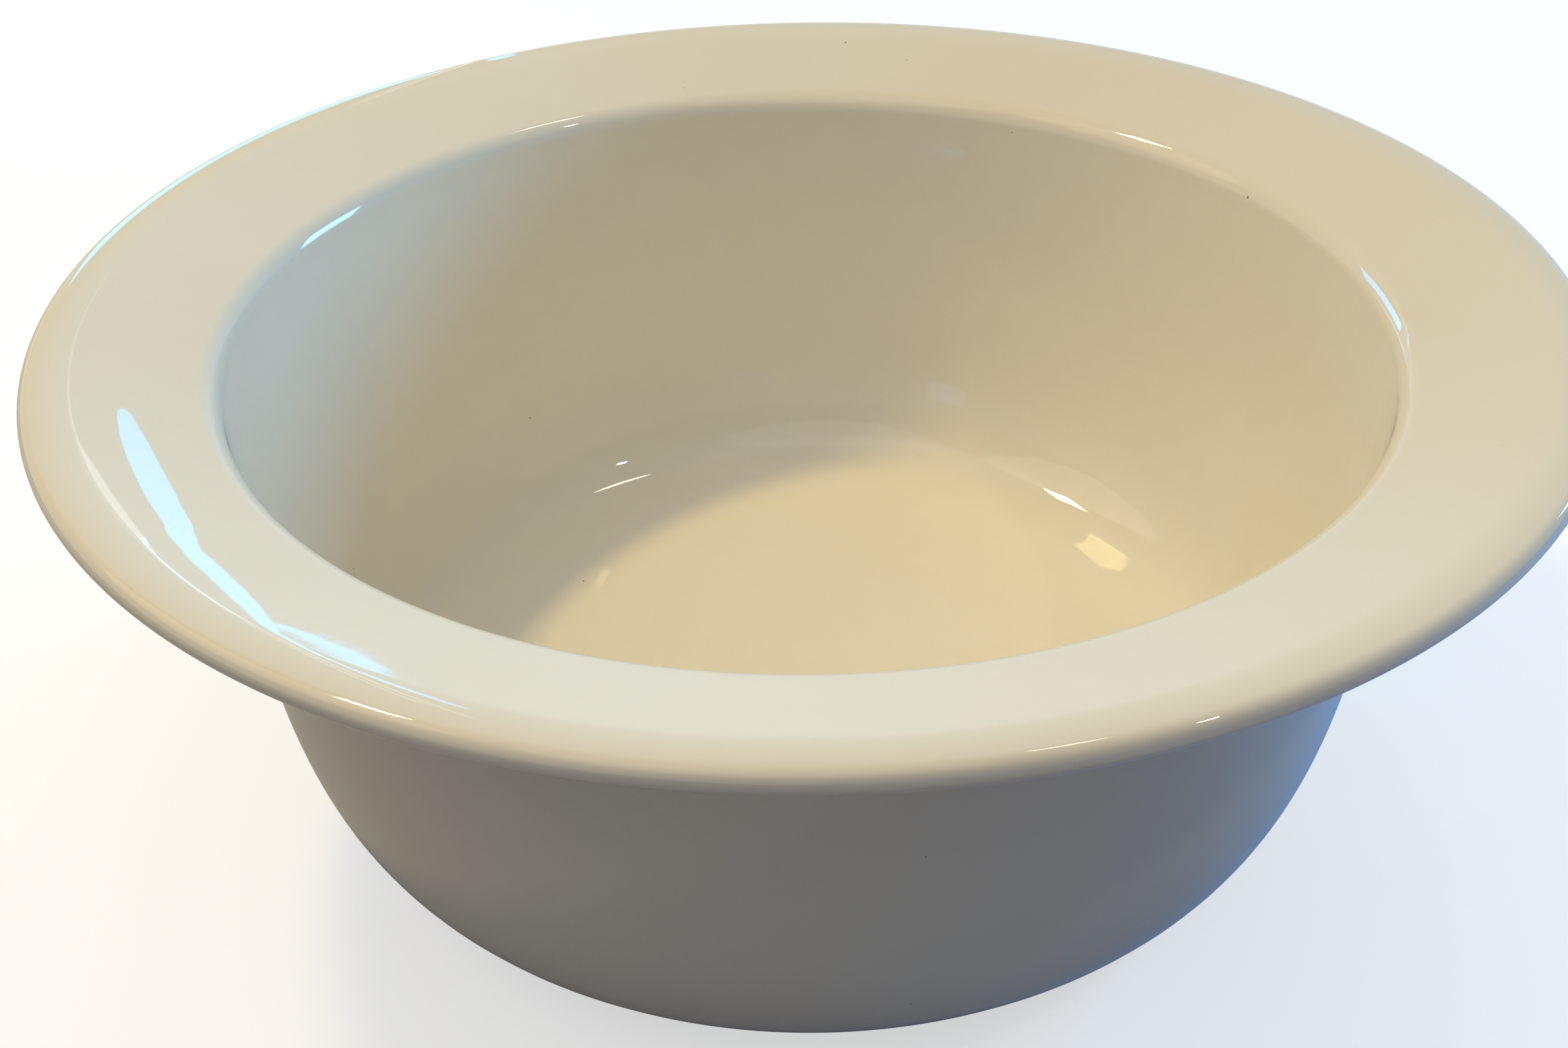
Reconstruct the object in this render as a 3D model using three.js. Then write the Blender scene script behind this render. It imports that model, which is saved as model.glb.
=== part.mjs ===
// Deep round serving bowl in glazed ware, with a broad rim that climbs to a rounded lip.
// Millimetres, +Z up. The bowl turns about the Z axis and stands on the plane z = 0.
import * as THREE from 'three';

const radians = THREE.MathUtils.degToRad;

// Driving dimensions of the glazed bowl
const bowlHeight = 117;
const mouthRadius = 116;              // where the lines of the inner wall and the rim's top cross
const rimWidth = 34;                  // from that crossing to the outermost edge
const rimSlope = radians(17.9);       // how steeply the rim climbs outwards
const lipRound = 3;                   // half the rim's thickness, so its edge is fully round
const mouthRound = 5;                 // soft corner from the inner wall to the rim
const shoulderRound = 6;              // hollow under the rim, where it leaves the outer wall
const wallDraft = radians(3);         // how far the wall leans out from upright below the rim
const wallThickness = 4.2;
const floorThickness = 6.5;
const upperPull = 42;                 // how long the wall holds on to its lean before it turns in
const lowerPull = 31.5;               // how long the turn runs out level towards the foot
const footRadius = 86;
const footWidth = 7;
const footFillet = 2;                 // hollow on both sides of the foot, where it leaves the floor
const footCollar = 1;                 // upright glazed band of the foot below that hollow
const bareFoot = 1.8;                 // height that is left without glaze
const footRound = 0.9;                // rounding of the foot's two standing edges
const glazeThickness = 0.5;
const glazeBond = 0.05;               // clearance between the glaze and the clay under it

// Fineness of the round and curved stretches
const turnSteps = 52;
const wallSteps = 10;
const lipSteps = 3;
const cornerSteps = 3;
const footSteps = 2;

// Sizes that follow from the driving dimensions
const rimRadius = mouthRadius + rimWidth;
const footInner = footRadius - footWidth;
const underside = bareFoot + footCollar + footFillet;
const floorLevel = underside + floorThickness;
const clayDepth = glazeThickness + glazeBond;

// A profile is a list of stations in the half-plane of radius and height.
// Each station has its place and the direction that points out of the bowl's material there.
const vector = (radius, height) => new THREE.Vector2(radius, height);
const up = vector(0, 1);
const down = vector(0, -1);
const outwards = vector(1, 0);
const inwards = vector(-1, 0);
const toward = (angle) => vector(Math.cos(angle), Math.sin(angle));
const along = (start, direction, distance) => start.clone().addScaledVector(direction, distance);
const station = (place, outward) => ({ place, outward });
const places = (stations) => stations.map(({ place }) => place);
const inset = (stations, depth) => stations.map(({ place, outward }) => along(place, outward, -depth));

function cross(startA, directionA, startB, directionB) {
  const gap = startB.clone().sub(startA);
  const distance = gap.cross(directionB) / directionA.cross(directionB);
  return along(startA, directionA, distance);
}

function arc(centre, radius, from, to, steps) {
  return Array.from({ length: steps + 1 }, (_, step) => {
    const outward = toward(THREE.MathUtils.lerp(from, to, step / steps));
    return station(along(centre, outward, radius), outward);
  });
}

// Rounds the corner between two lines that leave it along the given directions.
// A ridge has material inside the corner, and a hollow has air there.
function roundCorner(corner, leaveBy, arriveBy, radius, steps, ridge) {
  const opening = Math.acos(leaveBy.dot(arriveBy));
  const middle = leaveBy.clone().add(arriveBy).normalize();
  const centre = along(corner, middle, radius / Math.sin(opening / 2));
  const from = along(corner, leaveBy, radius / Math.tan(opening / 2)).sub(centre).angle();
  const to = along(corner, arriveBy, radius / Math.tan(opening / 2)).sub(centre).angle();
  const turn = THREE.MathUtils.euclideanModulo(to - from + Math.PI, 2 * Math.PI) - Math.PI;
  const stations = arc(centre, radius, from, from + turn, steps);
  return ridge ? stations : stations.map(({ place, outward }) => station(place, outward.negate()));
}

// Directions and corners of the rim
const rimOut = toward(rimSlope);
const rimTop = toward(rimSlope + Math.PI / 2);
const wallDown = toward(-Math.PI / 2 - wallDraft);
const wallOut = toward(-wallDraft);
const lipCentre = vector(rimRadius - lipRound, bowlHeight - lipRound);
const mouthCorner = cross(vector(mouthRadius, 0), up, along(lipCentre, rimTop, lipRound), rimOut);
const outerWallLine = along(mouthCorner, wallOut, wallThickness);
const shoulderCorner = cross(outerWallLine, wallDown, along(lipCentre, rimTop, -lipRound), rimOut);

// The lip's outermost edge and its crest are stations of their own
const lip = [
  ...arc(lipCentre, lipRound, rimSlope - Math.PI / 2, 0, lipSteps),
  ...arc(lipCentre, lipRound, 0, Math.PI / 2, lipSteps).slice(1),
  station(along(lipCentre, rimTop, lipRound), rimTop),
];
const mouth = roundCorner(mouthCorner, rimOut, wallDown, mouthRound, cornerSteps, true);
const shoulder = roundCorner(shoulderCorner, wallDown, rimOut, shoulderRound, cornerSteps, false);

// Outer wall: leaves the shoulder along the wall's lean and runs out level at the foot
const wallTop = shoulder[0].place;
const wallFoot = vector(footRadius + footFillet, underside);
const wallCurve = new THREE.CubicBezierCurve(
  wallTop,
  along(wallTop, wallDown, upperPull),
  along(wallFoot, outwards, lowerPull),
  wallFoot,
);
const wallShares = Array.from({ length: wallSteps + 1 }, (_, step) => step / wallSteps);

function wallStation(share) {
  const tangent = wallCurve.getTangent(share);
  return station(wallCurve.getPoint(share), vector(-tangent.y, tangent.x));
}

// Inner wall: the outer wall moved in by a thickness that grows towards the floor
function innerStation(share) {
  const { place, outward } = wallStation(share);
  const swell = THREE.MathUtils.smoothstep(share, 0, 1);
  const thickness = THREE.MathUtils.lerp(wallThickness, floorThickness, swell);
  return station(along(place, outward, -thickness), outward.clone().negate());
}

const outerWall = wallShares.map(wallStation).reverse();
const innerWall = wallShares.map(innerStation);

// Foot ring: glazed down to the bare standing face on both sides
const footOutside = roundCorner(vector(footRadius, underside), down, outwards, footFillet, footSteps, false);
const footInside = roundCorner(vector(footInner, underside), inwards, down, footFillet, footSteps, false);

// Glazed skin from the foot up the outside, over the rim and down the inside to the floor's middle
const bowlSkin = [
  station(vector(footRadius, bareFoot), outwards),
  ...footOutside,
  ...outerWall.slice(1),
  ...shoulder.slice(1),
  ...lip,
  ...mouth,
  ...innerWall,
  station(vector(0, floorLevel), up),
];

// Glazed skin of the hollow under the floor, from its middle out and down to the foot
const baseSkin = [
  station(vector(0, underside), down),
  ...footInside,
  station(vector(footInner, bareFoot), inwards),
];

// Bare clay of the foot, from its inner side across the standing face to its outer side
const standingFoot = [
  ...roundCorner(vector(footInner + clayDepth, 0), up, outwards, footRound, footSteps, true),
  ...roundCorner(vector(footRadius - clayDepth, 0), inwards, up, footRound, footSteps, true),
];

// Profiles of the three bodies: each glaze follows its skin, and the clay lies behind both
const clayProfile = [...inset(baseSkin, clayDepth), ...places(standingFoot), ...inset(bowlSkin, clayDepth)];
const coatProfile = [...inset(bowlSkin, glazeThickness).reverse(), ...places(bowlSkin)];
const baseProfile = [...places(baseSkin), ...inset(baseSkin, glazeThickness).reverse()];

function turned(name, profile, material) {
  const geometry = new THREE.LatheGeometry(profile, turnSteps);
  geometry.rotateX(Math.PI / 2);
  const mesh = new THREE.Mesh(geometry, material);
  mesh.name = name;
  return mesh;
}

const clay = new THREE.MeshStandardMaterial({ color: 0xcdbfa8, roughness: 0.9, metalness: 0 });
const glaze = new THREE.MeshStandardMaterial({ color: 0xe8e1d0, roughness: 0.12, metalness: 0 });

const bowl = new THREE.Group();
bowl.add(turned('clay_body', clayProfile, clay));
bowl.add(turned('glaze_coat', coatProfile, glaze));
bowl.add(turned('base_glaze', baseProfile, glaze));

export default bowl;
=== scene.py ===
"""Visual model of a glazed serving bowl with a broad climbing rim, built over its packed solids.

The bowl is three bodies: fired clay, a glass coat over all of it but the foot's standing face, and
the glass inside the foot ring. Lengths are metres, +Z is up and the bowl stands on z = 0.
"""

import math
from typing import NamedTuple

import bmesh
import bpy
from bpy.props import FloatProperty, FloatVectorProperty, IntProperty, PointerProperty
from mathutils import Matrix, Quaternion, Vector
from mathutils.geometry import interpolate_bezier


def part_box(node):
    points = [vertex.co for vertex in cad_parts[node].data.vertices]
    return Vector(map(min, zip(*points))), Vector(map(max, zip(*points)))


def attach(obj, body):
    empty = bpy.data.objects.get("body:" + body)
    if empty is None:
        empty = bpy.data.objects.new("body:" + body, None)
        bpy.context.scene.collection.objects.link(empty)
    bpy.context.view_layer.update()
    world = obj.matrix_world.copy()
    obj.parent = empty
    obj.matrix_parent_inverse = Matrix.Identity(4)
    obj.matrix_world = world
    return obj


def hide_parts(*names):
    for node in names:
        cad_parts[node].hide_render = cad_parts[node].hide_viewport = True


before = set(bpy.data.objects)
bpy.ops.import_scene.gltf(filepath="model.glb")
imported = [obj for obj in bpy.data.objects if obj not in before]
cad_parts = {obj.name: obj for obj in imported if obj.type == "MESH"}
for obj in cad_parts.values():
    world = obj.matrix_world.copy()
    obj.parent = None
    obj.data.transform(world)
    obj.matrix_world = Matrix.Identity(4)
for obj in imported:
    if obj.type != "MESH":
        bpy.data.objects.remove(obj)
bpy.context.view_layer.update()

bl_info = {
    "name": "Glazed serving bowl",
    "version": (1, 0, 0),
    "blender": (4, 5, 0),
    "location": "View3D > Sidebar > Bowl",
    "description": "Turns a glazed serving bowl with a broad rim, and sets it on a pale stage",
    "category": "Add Mesh",
}

coat_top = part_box("glaze_coat")[1]
base_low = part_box("base_glaze")[0]

# Vertices that lie nearer than this count as one, in metres
MERGE_REACH = 1e-6


def length(name, description, default):
    return FloatProperty(
        name=name, description=description, default=default, min=0.0, precision=5, unit="LENGTH",
    )


def position(name, description, default):
    return FloatProperty(name=name, description=description, default=default, precision=5, unit="LENGTH")


def angle(name, description, degrees):
    return FloatProperty(
        name=name, description=description, default=math.radians(degrees), subtype="ANGLE",
    )


def share(name, description, default):
    return FloatProperty(
        name=name, description=description, default=default, min=0.0, max=1.0, subtype="FACTOR",
    )


def slope(name, description, default):
    return FloatProperty(name=name, description=description, default=default, precision=5)


def colour(name, description, default):
    return FloatVectorProperty(
        name=name, description=description, default=default, min=0.0, max=1.0, size=3, subtype="COLOR",
    )


def count(name, description, default, least):
    return IntProperty(name=name, description=description, default=default, min=least)


class BowlSizes(bpy.types.PropertyGroup):
    """Sizes of the glazed bowl"""

    bowl_height: length("Bowl height", "From the table to the lip's crest", coat_top.z)
    rim_radius: length("Rim radius", "From the axis to the outermost edge", coat_top.x)
    mouth_radius: length("Mouth radius", "Where the lines of the inner wall and the rim's top cross", 0.116)
    rim_slope: angle("Rim slope", "How steeply the rim climbs outwards", 17.9)
    lip_round: length("Lip round", "Half the rim's thickness", 0.003)
    edge_round: length("Edge round", "Rounding of the lip's outermost edge, above and below", 0.00245)
    roll_round: length("Roll round", "Broad rounding that rolls the rim's top level", 0.019)
    roll_slope: angle("Roll slope", "How steeply the rim's top falls again at its edge", 1.8)
    mouth_round: length("Mouth round", "Soft corner from the inner wall to the rim", 0.005)
    shoulder_round: length("Shoulder round", "Hollow under the rim, where it leaves the outer wall", 0.006)
    wall_draft: angle("Wall draft", "How far the wall leans out from upright below the rim", 3.0)
    wall_thickness: length("Wall thickness", "Thickness of the upper wall with its glaze", 0.0042)
    floor_thickness: length("Floor thickness", "Thickness of the floor with its glaze", 0.0065)
    upper_pull: length("Upper pull", "How long the wall holds on to its lean before it turns in", 0.042)
    lower_pull: length("Lower pull", "How long the turn runs out level towards the foot", 0.0315)
    foot_radius: length("Foot radius", "From the axis to the foot ring's outer side", 0.086)
    foot_width: length("Foot width", "Thickness of the foot ring with its glaze", 0.007)
    foot_fillet: length("Foot fillet", "Hollow on both sides of the foot, where it leaves the floor", 0.002)
    foot_collar: length("Foot collar", "Upright glazed band of the foot below that hollow", 0.001)
    bare_foot: length("Bare foot", "Height that is left without glaze", base_low.z)
    foot_round: length("Foot round", "Rounding of the foot's two standing edges", 0.0009)
    glaze_thickness: length("Glaze thickness", "Thickness of the glass coat", 0.0005)
    glaze_bond: length("Glaze bond", "Clearance between the glaze and the clay under it", 0.00005)
    glaze_bead: length("Glaze bead", "Rounding of the edge where the glaze was wiped off", 0.00018)
    edge_hold: length("Edge hold", "How soon after a rounding a straight stretch shades level", 0.0003)
    edge_feather: length("Edge feather", "How far the thinning of the glaze fades beside an edge", 0.0048)
    sharp_bend: angle("Sharp bend", "Bend above which an edge shades sharp", 50.0)
    turn_steps: count("Turn steps", "Steps round the axis", 256, 12)
    wall_steps: count("Wall steps", "Steps down each side of the wall", 30, 4)
    corner_steps: count("Corner steps", "Steps round each soft corner", 12, 2)
    bead_steps: count("Bead steps", "Steps round the glaze's wiped edge", 3, 1)


class GlazeFinish(bpy.types.PropertyGroup):
    """Colours and gloss of the glass coat"""

    ivory: colour("Ivory", "Main colour of the glaze", (0.84, 0.79, 0.68))
    cream: colour("Cream", "Colour where the glaze lies a little deeper", (0.805, 0.745, 0.615))
    thin: colour("Thin glaze", "Colour over sharp edges, where clay shows through", (0.70, 0.56, 0.39))
    iron: colour("Iron speck", "Colour of the fine specks of iron", (0.075, 0.042, 0.025))
    gloss: share("Gloss", "Roughness of the clean glass", 0.02)
    worn: share("Worn gloss", "Roughness of the handled and wiped areas", 0.055)
    clouding: share("Clouding", "How far the colour drifts over the surface", 0.55)
    edge_break: share("Edge break", "How far the glaze thins over edges", 0.12)
    relief: length("Relief", "Height of the rings and ripples in the glass", 0.00006)
    refraction: FloatProperty(name="Refraction", description="Index of the glass", default=1.52, min=1.0)


class ClayFinish(bpy.types.PropertyGroup):
    """Colours of the bare fired clay"""

    clay: colour("Clay", "Main colour of the fired clay", (0.60, 0.50, 0.37))
    toasted: colour("Toasted clay", "Colour of the warmer patches", (0.49, 0.37, 0.24))
    iron: colour("Iron speck", "Colour of the fine specks of iron", (0.10, 0.055, 0.03))
    relief: length("Relief", "Height of the grain and turning marks", 0.00012)


class BowlStage(bpy.types.PropertyGroup):
    """Floor, light and camera"""

    floor_white: colour("Floor", "Colour that takes the shadow where it is seen", (0.50, 0.50, 0.50))
    floor_glow: colour("Floor glow", "White that the camera sees on top of it", (0.60, 0.60, 0.60))
    floor_shade: colour("Floor bounce", "Colour that throws light back on the bowl", (0.305, 0.282, 0.315))
    floor_left: colour("Floor left", "Glow of the floor in reflections, on the left", (0.02, 0.02, 0.02))
    floor_right: colour("Floor right", "Glow of the floor in reflections, on the right", (0.02, 0.16, 0.68))
    floor_edge: colour("Floor edge", "White that the floor glows with further off", (0.92, 0.92, 0.92))
    room_light: colour("Room light", "Soft light from all round", (0.150, 0.180, 0.220))
    far_light: colour("Far light", "Soft light from low on the far side", (0.95, 0.87, 0.75))
    low_mirror: colour("Low room mirrored", "What reflections show near the horizon", (0.70, 0.80, 0.90))
    room_mirror: colour("Room mirrored", "What reflections show higher up", (0.24, 0.26, 0.28))
    floor_reach: length("Floor reach", "From the bowl's axis to the floor's edges", 40.0)
    floor_gap: length("Floor gap", "Drop from the foot to the floor, so that they share no plane", 0.0002)
    glow_start: length("Glow start", "From the bowl's axis to where the floor starts to grow whiter", 0.35)
    glow_end: length("Glow end", "From the bowl's axis to where the floor is whitest", 1.8)
    left_end: position("Left end", "Where the floor's left glow starts to give way in reflections", -0.05)
    right_start: position("Right start", "Where the floor's right glow has taken over in reflections", 0.35)
    mirror_rise: share("Mirror rise", "Climb at which reflections show the higher tone", 0.5)
    far_fall: share("Far fall", "How fast the far light fades as it climbs", 0.8)
    far_start: share("Far start", "How far round to the far side the far light starts", 0.1)
    far_full: share("Far full", "How far round to the far side the far light is full", 0.9)
    lens: FloatProperty(
        name="Lens", description="Focal length", default=41.44, min=1.0, unit="CAMERA",
    )
    sensor: FloatProperty(
        name="Sensor", description="Width of the camera's sensor", default=36.0, min=1.0, unit="CAMERA",
    )
    near_clip: length("Near clip", "Nearest distance that the camera sees", 0.01)
    eye_distance: length("Eye distance", "From the bowl's axis to the camera, level", 0.3272)
    eye_height: length("Eye height", "From the table to the camera", 0.2766)
    pan: slope("Pan", "Aim of the view to the right of the rim's middle, as a slope", -0.01389)
    tilt: slope("Tilt", "Aim of the view above the rim's middle, as a slope", -0.13637)
    roll: angle("Roll", "Turn of the view about its own line", -1.0898)


class Lamp(NamedTuple):
    """A flat lamp: where it hangs as seen from the rim's middle, its size in metres, watts and colour.

    Angles are degrees. Bearings run from the camera's side, 0, over the right, 90, to the far side, 180.
    Lean turns a lamp about its own line, its top to the right as seen from the bowl.
    """

    bearing: float
    height: float
    reach: float
    size: tuple
    power: float
    tint: tuple
    lean: float = 0.0
    shape: str = "RECTANGLE"


CLEAR_BLUE = (0.0, 0.48, 1.0)
PALE_BLUE = (0.95, 1.0, 1.0)
LAMPS = {
    "key_lamp": Lamp(
        bearing=-118, height=58, reach=1.3, size=(0.20, 0.10),
        power=7.0, tint=(1.0, 0.77, 0.31),
    ),
    "round_lamp": Lamp(
        bearing=140, height=66.5, reach=1.18, size=(0.08, 0.12),
        power=0.5, tint=(1.0, 0.84, 0.60), shape="ELLIPSE",
    ),
    "small_lamp": Lamp(
        bearing=66.5, height=51, reach=1.2, size=(0.05, 0.05),
        power=0.9, tint=(1.0, 0.86, 0.62), shape="ELLIPSE",
    ),
    "top_panel": Lamp(
        bearing=-60, height=78, reach=1.2, size=(1.1, 1.1),
        power=1.45, tint=(1.0, 0.88, 0.70), shape="ELLIPSE",
    ),
    "front_panel": Lamp(
        bearing=-10, height=60, reach=1.2, size=(1.0, 1.0),
        power=1.4, tint=(1.0, 0.96, 0.90), shape="ELLIPSE",
    ),
    "left_panel": Lamp(
        bearing=-90, height=42, reach=1.2, size=(0.9, 0.9),
        power=2.0, tint=(1.0, 0.86, 0.66), shape="ELLIPSE",
    ),
    "right_panel": Lamp(
        bearing=118, height=13, reach=1.2, size=(0.34, 0.30),
        power=8.8, tint=(0.16, 0.54, 1.0),
    ),
    "pale_strip": Lamp(
        bearing=-166.6, height=21.4, lean=3, reach=1.54, size=(0.010, 0.60),
        power=0.026, tint=PALE_BLUE,
    ),
    "thin_pale_strip": Lamp(
        bearing=-165.7, height=21.0, lean=2, reach=1.55, size=(0.006, 0.50),
        power=0.016, tint=PALE_BLUE,
    ),
    "blue_strip": Lamp(
        bearing=-168.35, height=20.0, lean=9.0, reach=1.527, size=(0.0285, 0.25),
        power=0.081, tint=CLEAR_BLUE, shape="ELLIPSE",
    ),
    "blue_strip_waist": Lamp(
        bearing=-167.57, height=14.7, lean=-5.5, reach=1.479, size=(0.015, 0.145),
        power=0.0247, tint=CLEAR_BLUE, shape="ELLIPSE",
    ),
    "blue_strip_foot": Lamp(
        bearing=-169.7, height=9.45, lean=-33, reach=1.447, size=(0.0064, 0.185),
        power=0.0134, tint=CLEAR_BLUE, shape="ELLIPSE",
    ),
    "blue_panel": Lamp(
        bearing=-154.9, height=15.3, lean=17, reach=1.125, size=(0.335, 0.207),
        power=1.5, tint=CLEAR_BLUE,
    ),
}


# Places on the profile, in the plane of radius and height


def place(radius, height):
    return Vector((radius, 0.0, height))


def toward(turn):
    return Vector((math.cos(turn), 0.0, math.sin(turn)))


def crossing(start_a, along_a, start_b, along_b):
    gap = start_b - start_a
    across = along_a.x * along_b.z - along_a.z * along_b.x
    return start_a + along_a * ((gap.x * along_b.z - gap.z * along_b.x) / across)


def tangent_reach(leave_by, arrive_by, radius):
    """How far from a corner its rounding starts."""
    return radius / math.tan(leave_by.angle(arrive_by) / 2)


def bowl_corners(sizes):
    """Corners of the glazed skin, from the foot over the rim to the middle of the floor."""
    up = toward(math.pi / 2)
    outwards = toward(0.0)
    rim_out = toward(sizes.rim_slope)
    rim_top = toward(sizes.rim_slope + math.pi / 2)
    wall_down = toward(-math.pi / 2 - sizes.wall_draft)
    wall_out = toward(-sizes.wall_draft)
    underside = sizes.bare_foot + sizes.foot_collar + sizes.foot_fillet
    floor_level = underside + sizes.floor_thickness

    lip_centre = place(sizes.rim_radius - sizes.lip_round, sizes.bowl_height - sizes.lip_round)
    lip_half = rim_top * sizes.lip_round
    roll_out = toward(-sizes.roll_slope)
    lip_low = crossing(lip_centre - lip_half, rim_out, place(sizes.rim_radius, 0.0), up)
    edge_height = tangent_reach(-rim_out, up, sizes.edge_round)
    edge_height += tangent_reach(-up, -roll_out, sizes.edge_round)
    lip_high = lip_low + up * edge_height
    roll_corner = crossing(lip_centre + lip_half, rim_out, lip_high, roll_out)
    mouth_corner = crossing(place(sizes.mouth_radius, 0.0), up, lip_centre + lip_half, rim_out)
    outer_line = mouth_corner + wall_out * sizes.wall_thickness
    shoulder_corner = crossing(outer_line, wall_down, lip_centre - lip_half, rim_out)

    wall_top = shoulder_corner + wall_down * tangent_reach(wall_down, rim_out, sizes.shoulder_round)
    wall_foot = place(sizes.foot_radius + sizes.foot_fillet, underside)
    upper_hold = wall_top + wall_down * sizes.upper_pull
    lower_hold = wall_foot + outwards * sizes.lower_pull
    pulls = (wall_top, upper_hold, lower_hold, wall_foot)
    outer_wall = interpolate_bezier(*pulls, sizes.wall_steps + 1)
    inner_wall = []
    for step, spot in enumerate(outer_wall):
        part = step / sizes.wall_steps
        run = (pulls[1] - pulls[0]) * (1 - part) ** 2
        run += (pulls[2] - pulls[1]) * 2 * part * (1 - part)
        run += (pulls[3] - pulls[2]) * part ** 2
        run.normalize()
        swell = part * part * (3 - 2 * part)
        thickness = sizes.wall_thickness + (sizes.floor_thickness - sizes.wall_thickness) * swell
        inner_wall.append(spot + Vector((run.z, 0.0, -run.x)) * thickness)

    corners = [(place(sizes.foot_radius, sizes.bare_foot), 0.0)]
    corners.append((place(sizes.foot_radius, underside), sizes.foot_fillet))
    corners += [(spot, 0.0) for spot in reversed(outer_wall)]
    corners.append((shoulder_corner, sizes.shoulder_round))
    corners.append((lip_low, sizes.edge_round))
    corners.append((lip_high, sizes.edge_round))
    corners.append((roll_corner, sizes.roll_round))
    corners.append((mouth_corner, sizes.mouth_round))
    corners += [(spot, 0.0) for spot in inner_wall]
    corners.append((place(0.0, floor_level), 0.0))
    return corners


def base_corners(sizes):
    """Corners of the skin under the floor, from its middle out and down the foot's inner side."""
    foot_inner = sizes.foot_radius - sizes.foot_width
    underside = sizes.bare_foot + sizes.foot_collar + sizes.foot_fillet
    return [
        (place(0.0, underside), 0.0),
        (place(foot_inner, underside), sizes.foot_fillet),
        (place(foot_inner, sizes.bare_foot), 0.0),
    ]


# Meshes


def hold_straights(corners, hold):
    """Adds a place just before and after each rounding, so that the straight stretches shade level."""
    spots = [spot for spot, _ in corners]
    reaches = [0.0] * len(corners)
    for index, (spot, radius) in enumerate(corners):
        if radius > 0:
            reaches[index] = tangent_reach(spots[index - 1] - spot, spots[index + 1] - spot, radius)
    held = []
    for index, corner in enumerate(corners):
        for other in (index - 1, index, index + 1):
            if other == index:
                held.append(corner)
            elif reaches[index] > 0:
                run = spots[other] - spots[index]
                if run.length - reaches[index] - reaches[other] > 2 * hold:
                    held.append((spots[index] + run.normalized() * (reaches[index] + hold), 0.0))
    return held


def wire(mesh, corners, steps, hold):
    """Draws a profile through its corners and rounds those that have a radius."""
    corners = hold_straights(corners, hold)
    spots = [mesh.verts.new(spot) for spot, _ in corners]
    for first, second in zip(spots, spots[1:]):
        mesh.edges.new((first, second))
    for index, (here, radius) in enumerate(corners):
        if radius > 0:
            reach = tangent_reach(corners[index - 1][0] - here, corners[index + 1][0] - here, radius)
            bmesh.ops.bevel(
                mesh, geom=[spots[index]], offset=reach, offset_type="OFFSET", segments=steps, profile=0.5,
                affect="VERTICES", material=-1, clamp_overlap=False,
            )
    bmesh.ops.remove_doubles(mesh, verts=mesh.verts, dist=MERGE_REACH)


def mark_edges(mesh, feather):
    """Writes how much the profile turns near each vertex: above 0 over an edge, below 0 in a hollow."""
    turning = mesh.verts.layers.float.new("edge_turn")
    ends = [vert for vert in mesh.verts if len(vert.link_edges) == 1]
    vert = max(ends, key=lambda end: end.co.x)
    chain = [vert]
    edge = vert.link_edges[0]
    while edge:
        vert = edge.other_vert(vert)
        chain.append(vert)
        edge = next((other for other in vert.link_edges if other is not edge), None)
    reaches = [0.0]
    for first, second in zip(chain, chain[1:]):
        reaches.append(reaches[-1] + (second.co - first.co).length)
    turns = [0.0] * len(chain)
    for index in range(1, len(chain) - 1):
        arrive = chain[index].co - chain[index - 1].co
        leave = chain[index + 1].co - chain[index].co
        turns[index] = math.atan2(arrive.x * leave.z - arrive.z * leave.x, arrive.dot(leave))
    for index, vert in enumerate(chain):
        vert[turning] = sum(
            turn * math.exp(-(((reach - reaches[index]) / feather) ** 2))
            for turn, reach in zip(turns, reaches)
        )


def turn_round(mesh, steps):
    """Turns the profile about the axis and closes its seam and poles."""
    bmesh.ops.spin(
        mesh, geom=mesh.verts[:] + mesh.edges[:], cent=(0, 0, 0), axis=(0, 0, 1),
        angle=math.tau, steps=steps, use_merge=True,
    )
    bmesh.ops.remove_doubles(mesh, verts=mesh.verts, dist=MERGE_REACH)
    bmesh.ops.recalc_face_normals(mesh, faces=mesh.faces)


def glaze_shell(mesh, sizes):
    """Gives a turned skin the glaze's thickness and rounds the edge where it was wiped off the foot."""
    bmesh.ops.solidify(mesh, geom=mesh.faces[:], thickness=sizes.glaze_thickness)
    near = sizes.bare_foot + MERGE_REACH
    ring = {face for face in mesh.faces if all(vert.co.z < near for vert in face.verts)}
    wiped = [edge for edge in mesh.edges if sum(face in ring for face in edge.link_faces) == 1]
    bmesh.ops.bevel(
        mesh, geom=wiped, offset=sizes.glaze_bead, offset_type="OFFSET", segments=sizes.bead_steps,
        profile=0.5, affect="EDGES", material=-1,
    )


def finish_piece(mesh, name, node, material):
    """Makes a piece of the mesh that stands for one solid of the packed bowl."""
    data = bpy.data.meshes.new(name)
    mesh.to_mesh(data)
    mesh.free()
    data.shade_smooth()
    data.set_sharp_from_angle(angle=bpy.context.scene.bowl_sizes.sharp_bend)
    data.materials.append(material)
    piece = bpy.data.objects.new(name, data)
    bpy.context.scene.collection.objects.link(piece)
    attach(piece, "root")
    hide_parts(node)


# Node helpers


def link(tree, source, target):
    tree.links.new(source, target)


def add(tree, kind, **settings):
    node = tree.nodes.new(kind)
    for name, value in settings.items():
        setattr(node, name, value)
    return node


def feed(tree, socket, value):
    """Links another node's output to a socket, or sets a plain number or colour on it."""
    if isinstance(value, bpy.types.NodeSocket):
        link(tree, value, socket)
    elif isinstance(value, float):
        socket.default_value = value
    else:
        socket.default_value = (*value, 1.0)


def maths(tree, operation, *values, clamp=False):
    node = add(tree, "ShaderNodeMath", operation=operation, use_clamp=clamp)
    for socket, value in zip(node.inputs, values):
        feed(tree, socket, value)
    return node.outputs[0]


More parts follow.
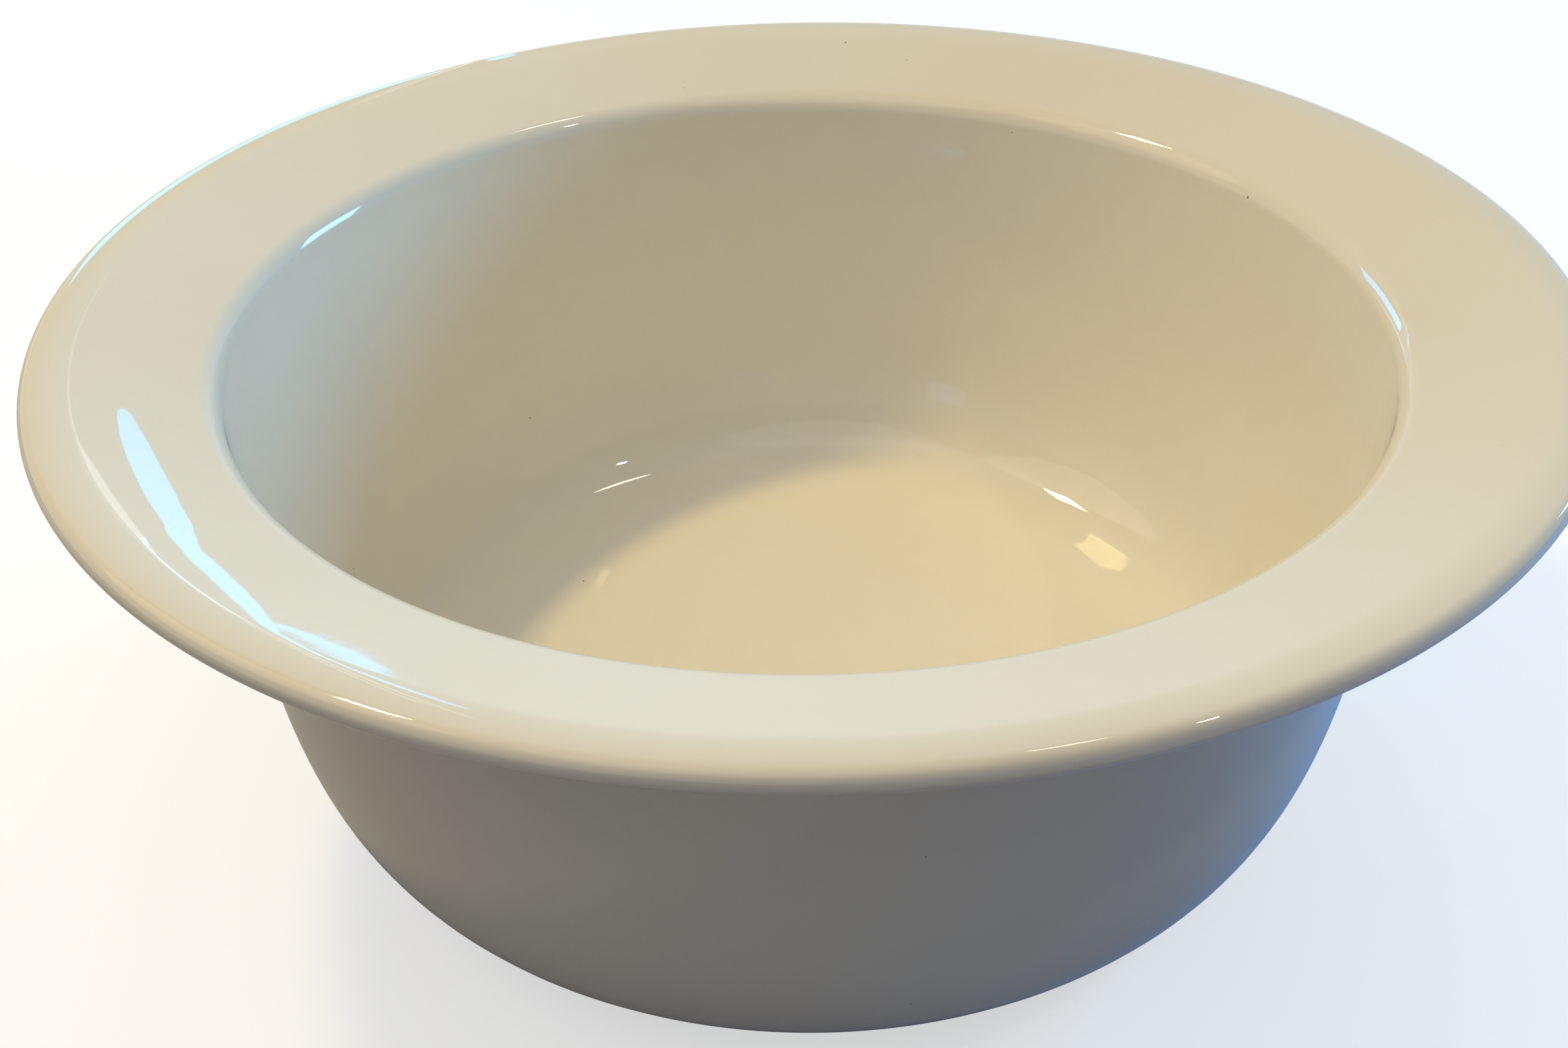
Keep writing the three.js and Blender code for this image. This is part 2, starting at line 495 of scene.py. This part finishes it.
def blend_colours(tree, factor, first, second):
    node = add(tree, "ShaderNodeMix", data_type="RGBA")
    for index, value in ((0, factor), (6, first), (7, second)):
        feed(tree, node.inputs[index], value)
    return node.outputs[2]


def noise(tree, vector, scale, detail=2.0, roughness=0.5):
    node = add(tree, "ShaderNodeTexNoise")
    for name, value in (("Vector", vector), ("Scale", scale), ("Detail", detail), ("Roughness", roughness)):
        feed(tree, node.inputs[name], value)
    return node.outputs["Fac"]


def spread(tree, value, low, high):
    """Runs smoothly from 0 to 1 while the value runs from low to high."""
    node = add(tree, "ShaderNodeMapRange", interpolation_type="SMOOTHSTEP")
    for name, setting in (("Value", value), ("From Min", low), ("From Max", high)):
        feed(tree, node.inputs[name], setting)
    return node.outputs["Result"]


def new_group(name, inputs, output):
    """An empty node group with a vector, the given values and one output."""
    tree = bpy.data.node_groups.new(name, "ShaderNodeTree")
    tree.interface.new_socket(name="Place", in_out="INPUT", socket_type="NodeSocketVector")
    for label, default in inputs.items():
        socket = tree.interface.new_socket(name=label, in_out="INPUT", socket_type="NodeSocketFloat")
        socket.default_value = default
    tree.interface.new_socket(name=output, in_out="OUTPUT", socket_type="NodeSocketFloat")
    return tree, add(tree, "NodeGroupInput"), add(tree, "NodeGroupOutput")


def clouding_group():
    """Soft drifts of tone, from broad clouds with a little fine mottling in them."""
    tree = bpy.data.node_groups.get("soft_clouding")
    if tree:
        return tree
    tree, given, result = new_group("soft_clouding", {"Scale": 10.0, "Mottling": 0.3}, "Tone")
    broad = noise(tree, given.outputs["Place"], given.outputs["Scale"], detail=3.0)
    closer = maths(tree, "MULTIPLY", given.outputs["Scale"], 13.0)
    fine = noise(tree, given.outputs["Place"], closer, detail=4.0, roughness=0.6)
    drift = maths(tree, "MULTIPLY", maths(tree, "SUBTRACT", fine, 0.5), given.outputs["Mottling"])
    link(tree, spread(tree, maths(tree, "ADD", broad, drift), 0.3, 0.7), result.inputs["Tone"])
    return tree


def speck_group():
    """Sparse fine specks of different sizes, dark in the middle and soft at the edge."""
    tree = bpy.data.node_groups.get("kiln_specks")
    if tree:
        return tree
    tree, given, result = new_group("kiln_specks", {"Scale": 125.0, "Share": 0.25, "Size": 0.06}, "Speck")
    cells = add(tree, "ShaderNodeTexVoronoi", feature="F1", voronoi_dimensions="3D")
    wander = noise(tree, given.outputs["Place"], 900.0)
    link(tree, given.outputs["Place"], cells.inputs["Vector"])
    link(tree, given.outputs["Scale"], cells.inputs["Scale"])
    lot = add(tree, "ShaderNodeSeparateColor")
    link(tree, cells.outputs["Color"], lot.inputs["Color"])
    chosen = maths(tree, "LESS_THAN", lot.outputs["Red"], given.outputs["Share"])
    smaller = maths(tree, "MULTIPLY_ADD", lot.outputs["Green"], 0.75, 0.25)
    size = maths(tree, "MULTIPLY", given.outputs["Size"], smaller)
    ragged = maths(tree, "MULTIPLY", size, maths(tree, "MULTIPLY_ADD", wander, 1.2, 0.4))
    body = spread(tree, maths(tree, "DIVIDE", cells.outputs["Distance"], ragged), 1.0, 0.45)
    link(tree, maths(tree, "MULTIPLY", body, chosen), result.inputs["Speck"])
    return tree


def ring_group():
    """Shallow rings that the turning left, which fade and drift along their way round."""
    tree = bpy.data.node_groups.get("turning_rings")
    if tree:
        return tree
    tree, given, result = new_group("turning_rings", {"Scale": 150.0, "Wander": 0.06}, "Height")
    parts = add(tree, "ShaderNodeSeparateXYZ")
    link(tree, given.outputs["Place"], parts.inputs[0])
    level = [maths(tree, "POWER", parts.outputs[axis], 2.0) for axis in "XY"]
    radius = maths(tree, "SQRT", maths(tree, "ADD", *level))
    reach = maths(tree, "ADD", radius, parts.outputs["Z"])
    strip = add(tree, "ShaderNodeCombineXYZ")
    for axis in "XY":
        drift = maths(tree, "MULTIPLY", parts.outputs[axis], given.outputs["Wander"])
        link(tree, drift, strip.inputs[axis])
    link(tree, reach, strip.inputs["Z"])
    height = noise(tree, strip.outputs[0], given.outputs["Scale"], roughness=0.55)
    link(tree, height, result.inputs["Height"])
    return tree


def use_group(tree, group, vector, **values):
    node = add(tree, "ShaderNodeGroup", node_tree=group)
    link(tree, vector, node.inputs["Place"])
    for name, value in values.items():
        node.inputs[name].default_value = value
    return node.outputs[0]


def new_material(name):
    material = bpy.data.materials.new(name)
    material.use_nodes = True
    return material, material.node_tree, material.node_tree.nodes["Principled BSDF"]


def emboss(tree, shader, height, strength, depth):
    bump = add(tree, "ShaderNodeBump")
    for name, value in (("Strength", strength), ("Distance", depth), ("Height", height)):
        feed(tree, bump.inputs[name], value)
    link(tree, bump.outputs["Normal"], shader.inputs["Normal"])


def glaze_material():
    """Glossy ivory glass: cloudy tone, thinner over edges, a few iron specks, faint rings and ripples."""
    material = bpy.data.materials.get("bowl_ivory_glaze")
    if material:
        return material
    finish = bpy.context.scene.bowl_glaze
    material, tree, shader = new_material("bowl_ivory_glaze")
    spot = add(tree, "ShaderNodeTexCoord").outputs["Object"]

    clouds = use_group(tree, clouding_group(), spot, Scale=11.0, Mottling=0.25)
    tone = blend_colours(tree, maths(tree, "MULTIPLY", clouds, finish.clouding), finish.ivory, finish.cream)
    turning = add(tree, "ShaderNodeAttribute", attribute_name="edge_turn").outputs["Fac"]
    thinness = maths(tree, "MULTIPLY", spread(tree, turning, 0.25, 1.5), finish.edge_break)
    tone = blend_colours(tree, thinness, tone, finish.thin)
    specks = use_group(tree, speck_group(), spot, Scale=120.0, Share=0.32, Size=0.055)
    faint = use_group(tree, speck_group(), spot, Scale=170.0, Share=0.16, Size=0.10)
    tone = blend_colours(tree, maths(tree, "MULTIPLY", faint, 0.12), tone, finish.thin)
    tone = blend_colours(tree, maths(tree, "MULTIPLY", specks, 0.85), tone, finish.iron)
    link(tree, tone, shader.inputs["Base Color"])

    smudges = spread(tree, noise(tree, spot, 24.0, detail=4.0, roughness=0.6), 0.42, 0.72)
    rough = maths(tree, "MULTIPLY_ADD", smudges, finish.worn - finish.gloss, finish.gloss)
    link(tree, maths(tree, "MULTIPLY_ADD", specks, 0.15, rough), shader.inputs["Roughness"])

    rings = use_group(tree, ring_group(), spot, Scale=160.0, Wander=0.05)
    ripples = noise(tree, spot, 95.0, roughness=0.45)
    peel = noise(tree, spot, 520.0)
    swell = maths(tree, "MULTIPLY_ADD", ripples, 0.07, maths(tree, "MULTIPLY", rings, 0.1))
    height = maths(tree, "MULTIPLY_ADD", peel, 0.012, swell)
    emboss(tree, shader, height, 1.0, finish.relief)
    shader.inputs["IOR"].default_value = finish.refraction
    return material


def clay_material():
    """Bare fired clay: dry, granular, toasted in patches, with turning marks."""
    finish = bpy.context.scene.bowl_clay
    material, tree, shader = new_material("bowl_bare_clay")
    spot = add(tree, "ShaderNodeTexCoord").outputs["Object"]
    clouds = use_group(tree, clouding_group(), spot, Scale=35.0, Mottling=0.6)
    tone = blend_colours(tree, clouds, finish.clay, finish.toasted)
    specks = use_group(tree, speck_group(), spot, Scale=260.0, Share=0.35, Size=0.10)
    tone = blend_colours(tree, maths(tree, "MULTIPLY", specks, 0.8), tone, finish.iron)
    link(tree, tone, shader.inputs["Base Color"])
    grain = noise(tree, spot, 2600.0, detail=3.0, roughness=0.65)
    link(tree, maths(tree, "MULTIPLY_ADD", grain, 0.2, 0.72), shader.inputs["Roughness"])
    rings = use_group(tree, ring_group(), spot, Scale=900.0, Wander=0.03)
    height = maths(tree, "MULTIPLY_ADD", grain, 0.7, maths(tree, "MULTIPLY", rings, 0.5))
    emboss(tree, shader, height, 0.8, finish.relief)
    return material


def seen_rays(tree):
    """1 for what the camera, reflections and glass see, 0 for light that is thrown on the bowl."""
    path = add(tree, "ShaderNodeLightPath")
    seen = maths(tree, "ADD", path.outputs["Is Camera Ray"], path.outputs["Is Glossy Ray"])
    return maths(tree, "ADD", seen, path.outputs["Is Transmission Ray"], clamp=True)


def floor_material():
    """Pale seamless floor, which is dimmer to reflections and thrown light than to the camera."""
    stage = bpy.context.scene.bowl_stage
    material = bpy.data.materials.new("pale_floor")
    material.use_nodes = True
    tree = material.node_tree
    tree.nodes.clear()
    out = add(tree, "ShaderNodeOutputMaterial")
    shown = add(tree, "ShaderNodeBsdfDiffuse")
    shown.inputs["Color"].default_value = (*stage.floor_white, 1.0)
    lift = add(tree, "ShaderNodeEmission")
    away = add(tree, "ShaderNodeVectorMath", operation="LENGTH")
    spot = add(tree, "ShaderNodeTexCoord").outputs["Object"]
    link(tree, spot, away.inputs[0])
    distance = spread(tree, away.outputs["Value"], stage.glow_start, stage.glow_end)
    glow = blend_colours(tree, distance, stage.floor_glow, stage.floor_edge)
    sides = add(tree, "ShaderNodeSeparateXYZ")
    link(tree, spot, sides.inputs[0])
    across = spread(tree, sides.outputs["X"], stage.left_end, stage.right_start)
    mirrored = blend_colours(tree, across, stage.floor_left, stage.floor_right)
    glossy_ray = add(tree, "ShaderNodeLightPath").outputs["Is Glossy Ray"]
    glow = blend_colours(tree, glossy_ray, glow, mirrored)
    link(tree, glow, lift.inputs["Color"])
    both = add(tree, "ShaderNodeAddShader")
    thrown = add(tree, "ShaderNodeBsdfDiffuse")
    thrown.inputs["Color"].default_value = (*stage.floor_shade, 1.0)
    mix = add(tree, "ShaderNodeMixShader")
    link(tree, seen_rays(tree), mix.inputs["Fac"])
    link(tree, shown.outputs[0], both.inputs[0])
    link(tree, lift.outputs[0], both.inputs[1])
    link(tree, thrown.outputs[0], mix.inputs[1])
    link(tree, both.outputs[0], mix.inputs[2])
    link(tree, mix.outputs[0], out.inputs["Surface"])
    return material


# Stage


def lay_floor(scene):
    stage = scene.bowl_stage
    mesh = bmesh.new()
    bmesh.ops.create_grid(
        mesh, x_segments=1, y_segments=1, size=stage.floor_reach,
        matrix=Matrix.Translation((0, 0, -stage.floor_gap)),
    )
    data = bpy.data.meshes.new("pale_floor")
    mesh.to_mesh(data)
    mesh.free()
    data.materials.append(floor_material())
    floor = bpy.data.objects.new("pale_floor", data)
    scene.collection.objects.link(floor)


def hang_lamps(scene):
    """Hangs the lamps, which all face the middle of the rim."""
    aim = Vector((0.0, 0.0, scene.bowl_sizes.bowl_height))
    for name, lamp in LAMPS.items():
        light = bpy.data.lights.new(name, "AREA")
        light.shape = lamp.shape
        light.size, light.size_y = lamp.size
        light.energy = lamp.power
        light.color = lamp.tint
        bearing, height = math.radians(lamp.bearing), math.radians(lamp.height)
        level = Vector((math.sin(bearing), -math.cos(bearing), 0.0))
        outward = level * math.cos(height) + Vector((0.0, 0.0, math.sin(height)))
        leaned = Quaternion((0, 0, 1), math.radians(lamp.lean))
        turned = outward.to_track_quat("Z", "Y") @ leaned
        hung = bpy.data.objects.new(name, light)
        hung.matrix_world = Matrix.LocRotScale(aim + outward * lamp.reach, turned, None)
        scene.collection.objects.link(hung)


def surround(scene):
    """Soft light from all round, with one tone for thrown light and another for reflections."""
    stage = scene.bowl_stage
    world = bpy.data.worlds.new("room")
    world.use_nodes = True
    tree = world.node_tree
    heading = add(tree, "ShaderNodeSeparateXYZ")
    link(tree, add(tree, "ShaderNodeTexCoord").outputs["Generated"], heading.inputs[0])
    climb = spread(tree, heading.outputs["Z"], 0.0, stage.mirror_rise)
    mirrored = blend_colours(tree, climb, stage.low_mirror, stage.room_mirror)
    low_far = maths(tree, "MULTIPLY_ADD", heading.outputs["Z"], -stage.far_fall, heading.outputs["Y"])
    far_share = spread(tree, low_far, stage.far_start, stage.far_full)
    thrown = blend_colours(tree, far_share, stage.room_light, stage.far_light)
    tint = blend_colours(tree, seen_rays(tree), thrown, mirrored)
    camera_ray = add(tree, "ShaderNodeLightPath").outputs["Is Camera Ray"]
    tint = blend_colours(tree, camera_ray, tint, (1.0, 1.0, 1.0))
    link(tree, tint, tree.nodes["Background"].inputs["Color"])
    scene.world = world


def set_camera(scene):
    stage = scene.bowl_stage
    camera = bpy.data.cameras.new("camera")
    camera.lens = stage.lens
    camera.sensor_width = stage.sensor
    camera.clip_start = stage.near_clip
    eye = bpy.data.objects.new("camera", camera)
    spot = Vector((0.0, -stage.eye_distance, stage.eye_height))
    rim_middle = Vector((0.0, 0.0, scene.bowl_sizes.bowl_height - scene.bowl_sizes.lip_round))
    ahead = (rim_middle - spot).normalized()
    right = Vector((1.0, 0.0, 0.0))
    ahead = (ahead + right * stage.pan + right.cross(ahead) * stage.tilt).normalized()
    right = ahead.cross(Vector((0.0, 0.0, 1.0))).normalized()
    over = right.cross(ahead)
    turned = Matrix((right, over, -ahead)).transposed() @ Matrix.Rotation(stage.roll, 3, "Z")
    eye.matrix_world = Matrix.LocRotScale(spot, turned.to_quaternion(), None)
    scene.collection.objects.link(eye)
    scene.camera = eye
    scene.view_settings.view_transform = "Standard"


# Operators


class BOWL_OT_glaze_coat(bpy.types.Operator):
    """Turn the glass coat over the inside, the rim and the outside"""

    bl_idname = "bowl.glaze_coat"
    bl_label = "Glaze Coat"

    def execute(self, context):
        sizes = context.scene.bowl_sizes
        mesh = bmesh.new()
        wire(mesh, bowl_corners(sizes), sizes.corner_steps, sizes.edge_hold)
        mark_edges(mesh, sizes.edge_feather)
        turn_round(mesh, sizes.turn_steps)
        glaze_shell(mesh, sizes)
        finish_piece(mesh, "bowl_glaze_coat", "glaze_coat", glaze_material())
        return {"FINISHED"}


class BOWL_OT_base_glaze(bpy.types.Operator):
    """Turn the glass that lines the hollow inside the foot ring"""

    bl_idname = "bowl.base_glaze"
    bl_label = "Base Glaze"

    def execute(self, context):
        sizes = context.scene.bowl_sizes
        mesh = bmesh.new()
        wire(mesh, base_corners(sizes), sizes.corner_steps, sizes.edge_hold)
        mark_edges(mesh, sizes.edge_feather)
        turn_round(mesh, sizes.turn_steps)
        if sum(face.normal.z for face in mesh.faces) > 0:
            bmesh.ops.reverse_faces(mesh, faces=mesh.faces)
        glaze_shell(mesh, sizes)
        finish_piece(mesh, "bowl_base_glaze", "base_glaze", glaze_material())
        return {"FINISHED"}


class BOWL_OT_clay_body(bpy.types.Operator):
    """Turn the clay body, which lies under both glazes and stands bare on its foot"""

    bl_idname = "bowl.clay_body"
    bl_label = "Clay Body"

    def execute(self, context):
        sizes = context.scene.bowl_sizes
        depth = sizes.glaze_thickness + sizes.glaze_bond
        foot_round = sizes.foot_round + depth
        standing = [
            (place(sizes.foot_radius - sizes.foot_width, -depth), foot_round),
            (place(sizes.foot_radius, -depth), foot_round),
        ]
        mesh = bmesh.new()
        corners = base_corners(sizes) + standing + bowl_corners(sizes)
        wire(mesh, corners, sizes.corner_steps, sizes.edge_hold)
        turn_round(mesh, sizes.turn_steps)
        mesh.normal_update()
        for vert in mesh.verts:
            vert.co -= vert.normal * depth
        finish_piece(mesh, "bowl_clay_body", "clay_body", clay_material())
        return {"FINISHED"}


class BOWL_OT_stage(bpy.types.Operator):
    """Lay the pale floor, hang the lamps and set the camera"""

    bl_idname = "bowl.stage"
    bl_label = "Stage"

    def execute(self, context):
        lay_floor(context.scene)
        hang_lamps(context.scene)
        surround(context.scene)
        set_camera(context.scene)
        return {"FINISHED"}


class BOWL_PT_panel(bpy.types.Panel):
    """Sizes, finishes and pieces of the serving bowl"""

    bl_idname = "BOWL_PT_panel"
    bl_label = "Serving Bowl"
    bl_space_type = "VIEW_3D"
    bl_region_type = "UI"
    bl_category = "Bowl"

    def draw(self, context):
        layout = self.layout
        for holder, kind in GROUPS.items():
            box = layout.box()
            box.label(text=kind.__doc__)
            for name in kind.__annotations__:
                box.prop(getattr(context.scene, holder), name)
        for operator in OPERATORS:
            layout.operator(operator.bl_idname)


GROUPS = {
    "bowl_sizes": BowlSizes,
    "bowl_glaze": GlazeFinish,
    "bowl_clay": ClayFinish,
    "bowl_stage": BowlStage,
}
OPERATORS = (BOWL_OT_glaze_coat, BOWL_OT_base_glaze, BOWL_OT_clay_body, BOWL_OT_stage)


def register():
    for kind in (*GROUPS.values(), *OPERATORS, BOWL_PT_panel):
        bpy.utils.register_class(kind)
    for name, group in GROUPS.items():
        setattr(bpy.types.Scene, name, PointerProperty(type=group))


def unregister():
    for name in GROUPS:
        delattr(bpy.types.Scene, name)
    for kind in reversed((*GROUPS.values(), *OPERATORS, BOWL_PT_panel)):
        bpy.utils.unregister_class(kind)


def main():
    register()
    bpy.ops.bowl.glaze_coat()
    bpy.ops.bowl.base_glaze()
    bpy.ops.bowl.clay_body()
    bpy.ops.bowl.stage()


if __name__ == "__main__":
    main()
